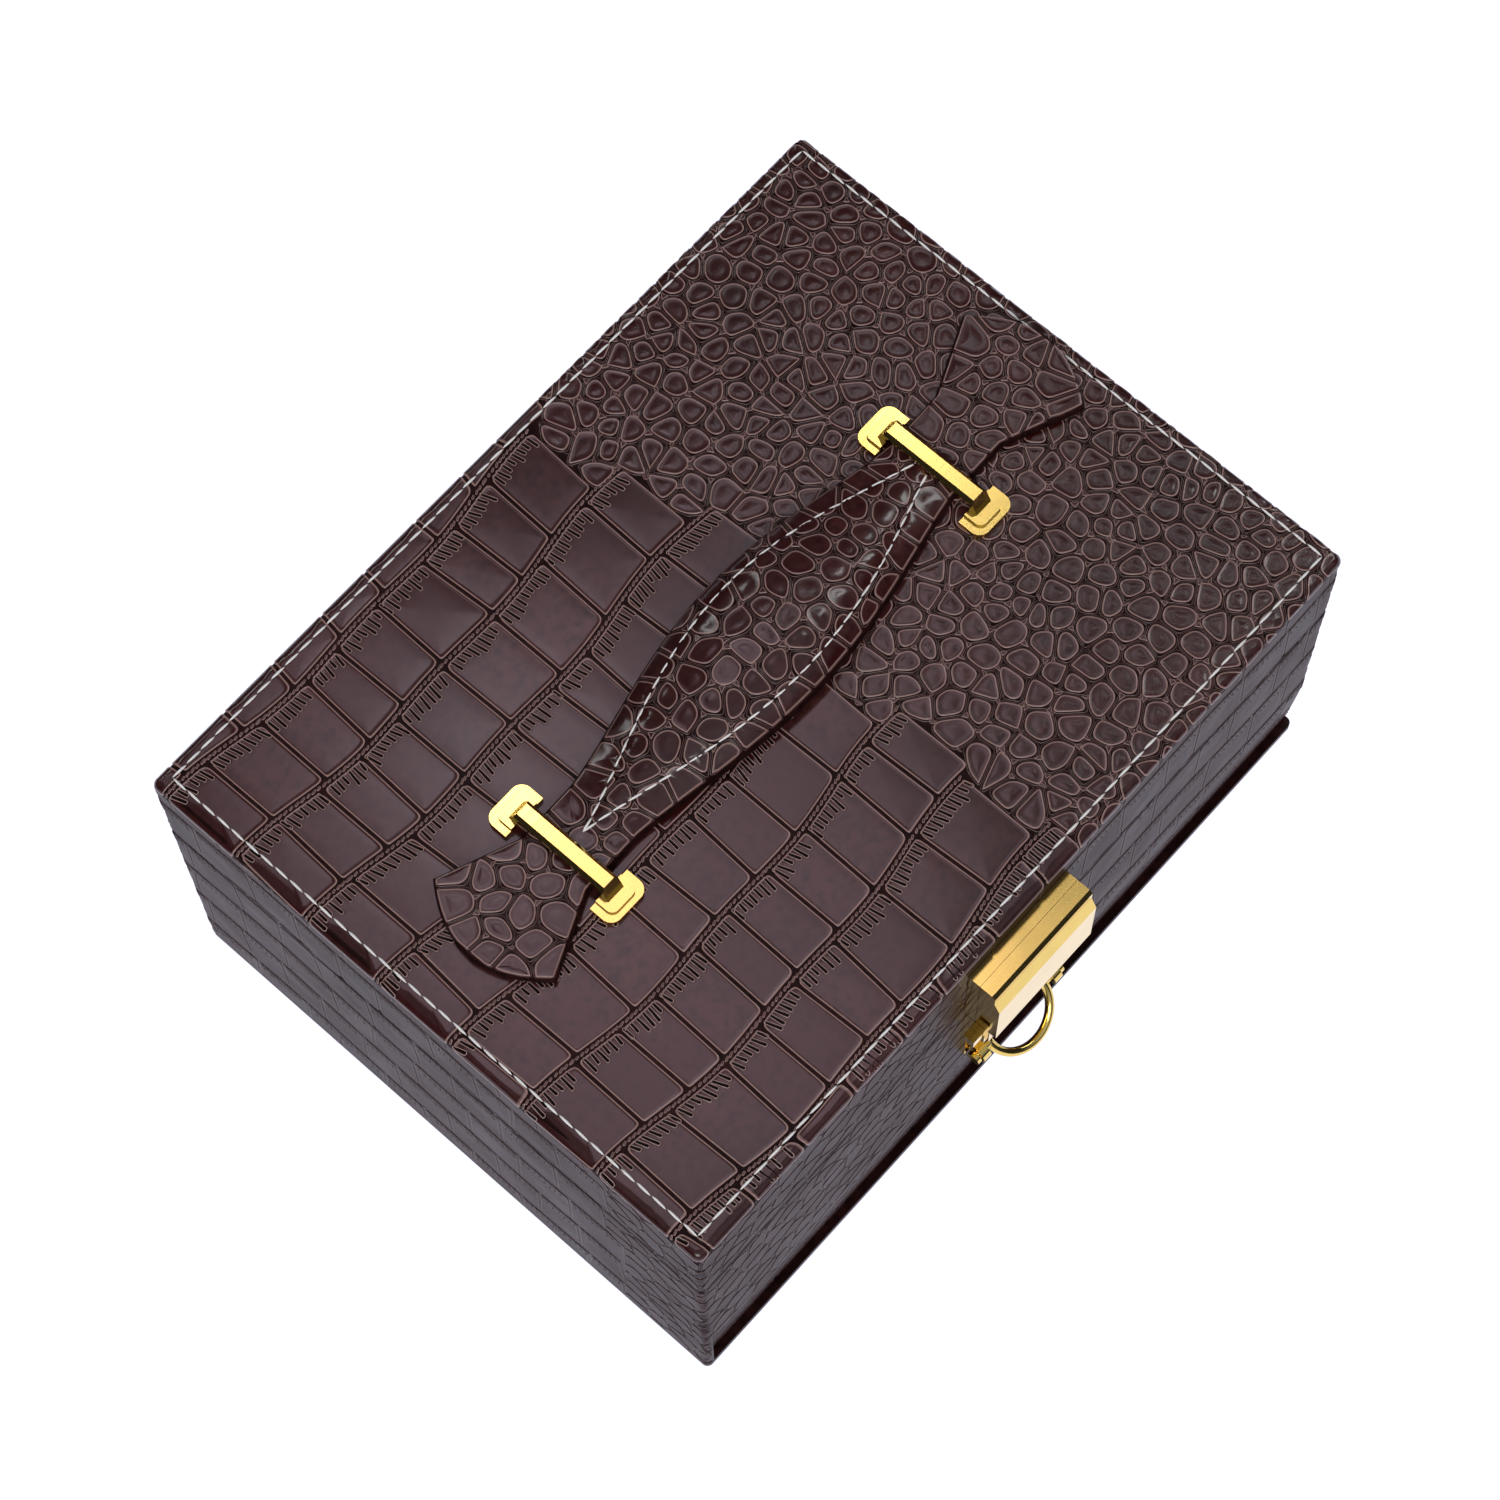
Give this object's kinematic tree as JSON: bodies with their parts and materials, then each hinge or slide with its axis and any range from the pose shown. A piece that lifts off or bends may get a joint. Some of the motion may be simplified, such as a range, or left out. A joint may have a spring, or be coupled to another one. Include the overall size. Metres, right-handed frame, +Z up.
{
  "type": "jewellery case",
  "caption": "Rectangular leather-covered jewellery case with a hinged stitched lid, padded strap handle on metal bridges, front latch with a pull ring, and a lift-out tray.",
  "frame": {"origin": "centre of the underside of the case, on the surface that it stands on", "axes": "+X to the right along the front, +Y to the back with the hinges, +Z up; the latch is on the -Y face"},
  "size_m": [0.23, 0.1897, 0.1218],
  "materials": {
    "brown_leather": "glossy",
    "board": "plain fibreboard",
    "velvet": "short velvet pile",
    "gold_metal": "polished gilt",
    "steel": "plain",
    "felt": "felt",
    "foam": "foam",
    "mirror": "silvered glass"
  },
  "bodies": {
    "case": {"base_board": "brown_leather", "base_cover": "felt", "front_wall": "board", "back_wall": "board", "left_wall": "board", "right_wall": "board", "body_leather": "brown_leather", "body_lining": "velvet", "divider_long": "velvet", "divider_left": "velvet", "divider_right": "velvet", "tray_rest_left": "velvet", "tray_rest_right": "velvet", "hinge_body_left": "gold_metal", "hinge_body_right": "gold_metal", "hinge_pin_left": "steel", "hinge_pin_right": "steel", "body_screws": "gold_metal", "lock_plate": "gold_metal", "lock_case": "gold_metal"},
    "lid": {"lid_board": "board", "lid_front_rail": "board", "lid_back_rail": "board", "lid_left_rail": "board", "lid_right_rail": "board", "lid_foam": "foam", "lid_leather": "brown_leather", "lid_lining": "velvet", "mirror": "mirror", "mirror_frame": "gold_metal", "hinge_lid_left": "gold_metal", "hinge_lid_right": "gold_metal", "lid_screws": "gold_metal", "hasp_plate": "gold_metal", "hasp_block": "gold_metal", "hasp_tongue": "steel", "bridge_left": "gold_metal", "bridge_right": "gold_metal", "bridge_nuts": "steel"},
    "handle_strap": {"strap": "brown_leather", "strap_pad": "brown_leather"},
    "pull_ring": {"pull_ring": "gold_metal"},
    "catch": {"catch_bolt": "gold_metal"},
    "tray": {"tray_floor": "velvet", "tray_front": "velvet", "tray_back": "velvet", "tray_left": "velvet", "tray_right": "velvet", "tray_divider": "velvet", "tray_cross_left": "velvet", "tray_cross_right": "velvet", "tray_tabs": "velvet", "ring_roll_1": "velvet", "ring_roll_2": "velvet", "ring_roll_3": "velvet", "ring_roll_4": "velvet", "ring_roll_5": "velvet"}
  },
  "joints": [
    {"name": "lid_hinge", "type": "hinge", "parent": "case", "child": "lid", "pos_m": [0, 0.0889, 0.0795], "axis": [-1, 0, 0], "range_deg": [0, 95]},
    {"name": "strap_slide", "type": "slide", "parent": "lid", "child": "handle_strap", "axis": [-1, 0, 0], "range_m": [0, 0.005]},
    {"name": "pull_ring_hinge", "type": "hinge", "parent": "case", "child": "pull_ring", "pos_m": [-0.0045, -0.0902, 0.0415], "axis": [1, 0, 0], "range_deg": [-70, 50]},
    {"name": "catch_slide", "type": "slide", "parent": "case", "child": "catch", "axis": [1, 0, 0], "range_m": [0, 0.003]},
    {"name": "tray_lift", "type": "slide", "parent": "case", "child": "tray", "axis": [0, 0, 1], "range_m": [0, 0.02]}
  ]
}
